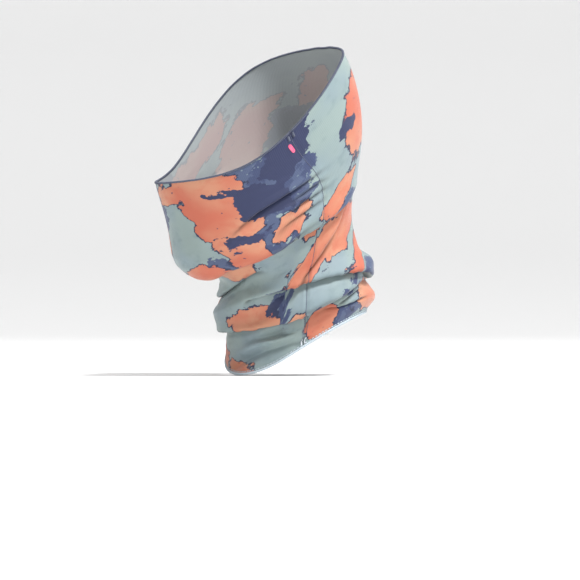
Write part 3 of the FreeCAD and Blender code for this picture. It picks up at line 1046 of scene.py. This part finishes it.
def transfer_mark():
    """A plain rounded bar of film, which lies on the cloth just in front of the seam's top end."""
    low, high = (np.array(corner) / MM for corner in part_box("transfer_mark"))
    centre = (low + high) / 2
    tree = BVHTree.FromPolygons(cloth.reshape(-1, 3).tolist(), grid_faces(ROWS + 1, COLUMNS))
    spot, normal = tree.find_nearest(Vector(centre))[:2]
    normal = np.array(normal)
    upward = unit(np.array([0.0, 0.0, 1.0]) - normal * normal[2])
    across = np.cross(upward, normal)
    long_way = -across * math.cos(MARK_TILT) + upward * math.sin(MARK_TILT)
    short_way = np.cross(normal, long_way)
    turn = np.linspace(0, 2 * math.pi, 64, endpoint=False)
    straight = (MARK_LENGTH - MARK_WIDTH) / 2
    outline_x = np.cos(turn) * MARK_WIDTH / 2 + np.sign(np.cos(turn)) * straight
    outline_y = np.sin(turn) * MARK_WIDTH / 2
    points = []
    for scale, lift in MARK_RINGS:
        for x, y in zip(outline_x * scale, outline_y * scale):
            start = np.array(spot) + long_way * x + short_way * y + normal * 8
            hit, facing = tree.ray_cast(Vector(start), Vector(-normal))[:2]
            points.append(np.array(hit) + np.array(facing) * lift * MARK_THICKNESS)
    faces = [tuple(reversed(face)) for face in grid_faces(len(MARK_RINGS), len(turn))]
    faces.append(tuple(range(len(turn))))
    piece = mesh_object("transfer_mark_film", np.array(points), faces)
    finish_piece(piece, "tube", "transfer_mark", film_material())


# ---- the care label

def label_place(reach, aside, up):
    """A place on the label, from how far it is from the seam, how far aside and how far up."""
    out = np.array([math.cos(LABEL_TURN), math.sin(LABEL_TURN), 0.0])
    beside = np.array([-math.sin(LABEL_TURN), math.cos(LABEL_TURN), 0.0])
    reach, aside, up = (np.asarray(value)[..., None] for value in (reach, aside, up))
    return LABEL_EDGE + out * reach + beside * aside + np.array([0.0, 0.0, 1.0]) * up


def care_label():
    """A strip of satin tape folded in two; its plies bow a little, and its corners curl."""
    half = (LABEL_PLY + LABEL_GAP) / 2
    share = np.linspace(0, 1, 25)
    bend = np.linspace(-90, 90, 13)[1:-1] * math.pi / 180
    straight = LABEL_REACH - half - LABEL_PLY / 2
    reach = np.concatenate([straight * share, straight + half * np.cos(bend), straight * share[::-1]])
    aside = np.concatenate([-half * np.ones(25), half * np.sin(bend), half * np.ones(25)])
    run = np.concatenate([[0], np.cumsum(np.hypot(np.diff(reach), np.diff(aside)))])
    heights = np.linspace(0, LABEL_HEIGHT, 29)
    up = heights / LABEL_HEIGHT
    out = (reach / LABEL_REACH)[:, None]
    curl = 0.25 * np.abs(up * 2 - 1) ** 3 * out**2
    wave = 0.3 * np.sin(out * math.pi) * np.cos(up * 4)
    reach, height = np.meshgrid(reach, heights, indexing="ij")
    middle = label_place(reach, aside[:, None] + curl + wave, height)
    along = np.gradient(middle, axis=0)
    upward = np.gradient(middle, axis=1)
    normal = unit(np.cross(along, upward)) * (LABEL_PLY / 2)
    faces = with_back(grid_faces(*reach.shape, closed=False), reach.size)
    points = np.concatenate([(middle - normal).reshape(-1, 3), (middle + normal).reshape(-1, 3)])
    piece = mesh_object("care_label_tape", points, faces)
    along_tape = np.repeat(run, len(heights))
    put_flat_map(piece.data, np.tile(along_tape, 2), np.tile(height.reshape(-1), 2))
    finish_piece(piece, "label", "care_label", satin_material())


LABEL_STITCHES = 8


def label_stitching():
    """Lockstitches through both plies of the label, beside the seam."""
    pitch = LABEL_HEIGHT / LABEL_STITCHES
    face = LABEL_GAP / 2 + LABEL_PLY
    parts = []
    for side in (-1, 1):
        for index in range(LABEL_STITCHES):
            share = np.linspace(0, 1, 7)
            up = pitch * (index + 0.14 + 0.72 * share)
            arch = np.sin(math.pi * share)
            aside = side * (face + 0.12 * arch**0.5 - 0.12 * (1 - arch))
            path = label_place(2.0 + 0 * share, aside, up)
            ups = label_place(0 * share, side * np.ones(7), 0 * share) - LABEL_EDGE
            parts.append(thread_mesh(path, ups, 0.2))
    thread_piece("label_stitching", parts, LABEL_THREAD, "label")


top_edge()
bottom_edge()
side_seam()
bartack("top_bartack", (3.0, 8.5), DARK_THREAD)
bartack("bottom_bartack", (FLAT_LENGTH - 11.5, FLAT_LENGTH - 3.5), BRIGHT_THREAD)
transfer_mark()
care_label()
label_stitching()


# ---- camera, light and floor

AZIMUTH = math.radians(52)
CAMERA_DISTANCE = 4.45
CAMERA_HEIGHT = 0.049
CAMERA_ASIDE = -0.003
KEY_AZIMUTH = math.radians(102)
KEY_DISTANCE = 1.25
KEY_HEIGHT = 2.3


def aimed(name, data, location, target):
    """A camera or a light at a location, turned to a place."""
    thing = bpy.data.objects.new(name, data)
    thing.location = location
    thing.rotation_euler = (Vector(target) - thing.location).to_track_quat("-Z", "Y").to_euler()
    bpy.context.scene.collection.objects.link(thing)
    return thing


def camera():
    """A long lens at the height of the neck, so that upright lines stay upright."""
    data = bpy.data.cameras.new("camera")
    data.lens = 300
    data.sensor_width = 36
    right = Vector((math.cos(AZIMUTH), math.sin(AZIMUTH), 0))
    target = right * CAMERA_ASIDE + Vector((0, 0, CAMERA_HEIGHT))
    location = target + Vector((math.sin(AZIMUTH), -math.cos(AZIMUTH), 0)) * CAMERA_DISTANCE
    bpy.context.scene.camera = aimed("camera", data, location, target)


def key_light():
    """One square soft light, high on the wearer's left."""
    data = bpy.data.lights.new("key", "AREA")
    data.shape = "SQUARE"
    data.size = 0.55
    data.energy = 112
    location = (math.sin(KEY_AZIMUTH) * KEY_DISTANCE, -math.cos(KEY_AZIMUTH) * KEY_DISTANCE, KEY_HEIGHT)
    aimed("key", data, location, (0, 0, 0.1))


# Rings of the floor, as radius and height in millimetres.
SWEEP_RINGS = ((0, 0), (4000, 0), (6500, 150), (8200, 700), (9200, 1700), (9700, 3200), (9900, 6000))
SWEEP_SIDES = 96
FLOOR_GAP = 0.0005


def sweep():
    """A round pale floor that curves up into a low wall, so that no horizon shows."""
    points = []
    for radius, height in SWEEP_RINGS:
        for step in range(SWEEP_SIDES):
            turn = 2 * math.pi * step / SWEEP_SIDES
            points.append((radius * math.cos(turn), radius * math.sin(turn), height))
    floor = mesh_object("floor", points, grid_faces(len(SWEEP_RINGS), SWEEP_SIDES))
    floor.location.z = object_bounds()[0][2] - FLOOR_GAP
    floor.data.materials.append(Paint("floor", roughness=0.9).finish((0.93, 0.93, 0.93, 1)))
    floor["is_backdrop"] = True


def studio():
    """The floor, an even white surrounding and the key light."""
    sweep()
    key_light()
    world = bpy.data.worlds.new("studio")
    world.use_nodes = True
    world.node_tree.nodes["Background"].inputs["Color"].default_value = (1, 1, 1, 1)
    world.node_tree.nodes["Background"].inputs["Strength"].default_value = 0.88
    bpy.context.scene.world = world
    bpy.context.scene.view_settings.view_transform = "Standard"


camera()
studio()
